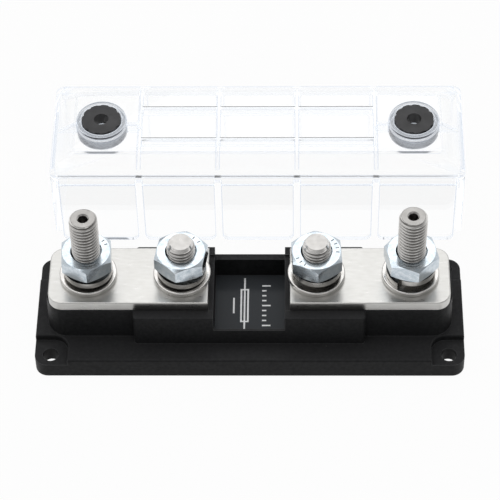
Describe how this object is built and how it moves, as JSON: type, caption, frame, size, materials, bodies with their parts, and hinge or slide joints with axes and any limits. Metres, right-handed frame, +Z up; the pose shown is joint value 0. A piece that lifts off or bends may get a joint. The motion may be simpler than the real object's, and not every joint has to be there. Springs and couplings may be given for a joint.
{
  "type": "class t fuse holder",
  "caption": "Open fuse holder: moulded base with two busbars on it, threaded studs with nuts and washers, and a clear ribbed cover standing beside it.",
  "frame": {"origin": "middle of the four mounting holes, on the base's underside", "axes": "+X along the base from the left cable stud to the right one, +Y from the base towards the cover that stands behind it, +Z up out of the mounting plane"},
  "size_m": [0.152, 0.1076, 0.0578],
  "materials": {
    "black_plastic": "satin moulded black, fine grain",
    "tinned_bar": "tin plated, brushed along the bar",
    "stud_steel": "bright rolled thread",
    "washer_steel": "bright stamped",
    "spring_steel": "satin",
    "nut_plate": "zinc plated, satin",
    "clear_plastic": "clear, polished",
    "bush_rubber": "satin black"
  },
  "bodies": {
    "holder": {"base": "black_plastic", "busbar_left": "tinned_bar", "busbar_right": "tinned_bar", "cable_stud_left": "stud_steel", "cable_stud_right": "stud_steel", "fuse_stud_left": "stud_steel", "fuse_stud_right": "stud_steel", "cable_left_flat_washer": "washer_steel", "cable_right_flat_washer": "washer_steel", "fuse_left_flat_washer": "washer_steel", "fuse_right_flat_washer": "washer_steel", "cable_left_spring_washer": "spring_steel", "cable_right_spring_washer": "spring_steel", "fuse_left_spring_washer": "spring_steel", "fuse_right_spring_washer": "spring_steel"},
    "cable_nut_left": {"cable_left_nut": "nut_plate"},
    "cable_nut_right": {"cable_right_nut": "nut_plate"},
    "fuse_nut_left": {"fuse_left_nut": "nut_plate"},
    "fuse_nut_right": {"fuse_right_nut": "nut_plate"},
    "lid": {"cover": "clear_plastic", "cover_bush_left": "bush_rubber", "cover_bush_right": "bush_rubber"}
  },
  "joints": [
    {"name": "cable_nut_left_off", "type": "slide", "parent": "holder", "child": "cable_nut_left", "axis": [0, 0, 1], "range_m": [0, 0.03]},
    {"name": "cable_nut_right_off", "type": "slide", "parent": "holder", "child": "cable_nut_right", "axis": [0, 0, 1], "range_m": [0, 0.03]},
    {"name": "fuse_nut_left_off", "type": "slide", "parent": "holder", "child": "fuse_nut_left", "axis": [0, 0, 1], "range_m": [0, 0.02]},
    {"name": "fuse_nut_right_off", "type": "slide", "parent": "holder", "child": "fuse_nut_right", "axis": [0, 0, 1], "range_m": [0, 0.02]},
    {"name": "cover_lift", "type": "slide", "parent": "holder", "child": "lid", "axis": [0, 0, 1], "range_m": [0, 0.1]}
  ]
}
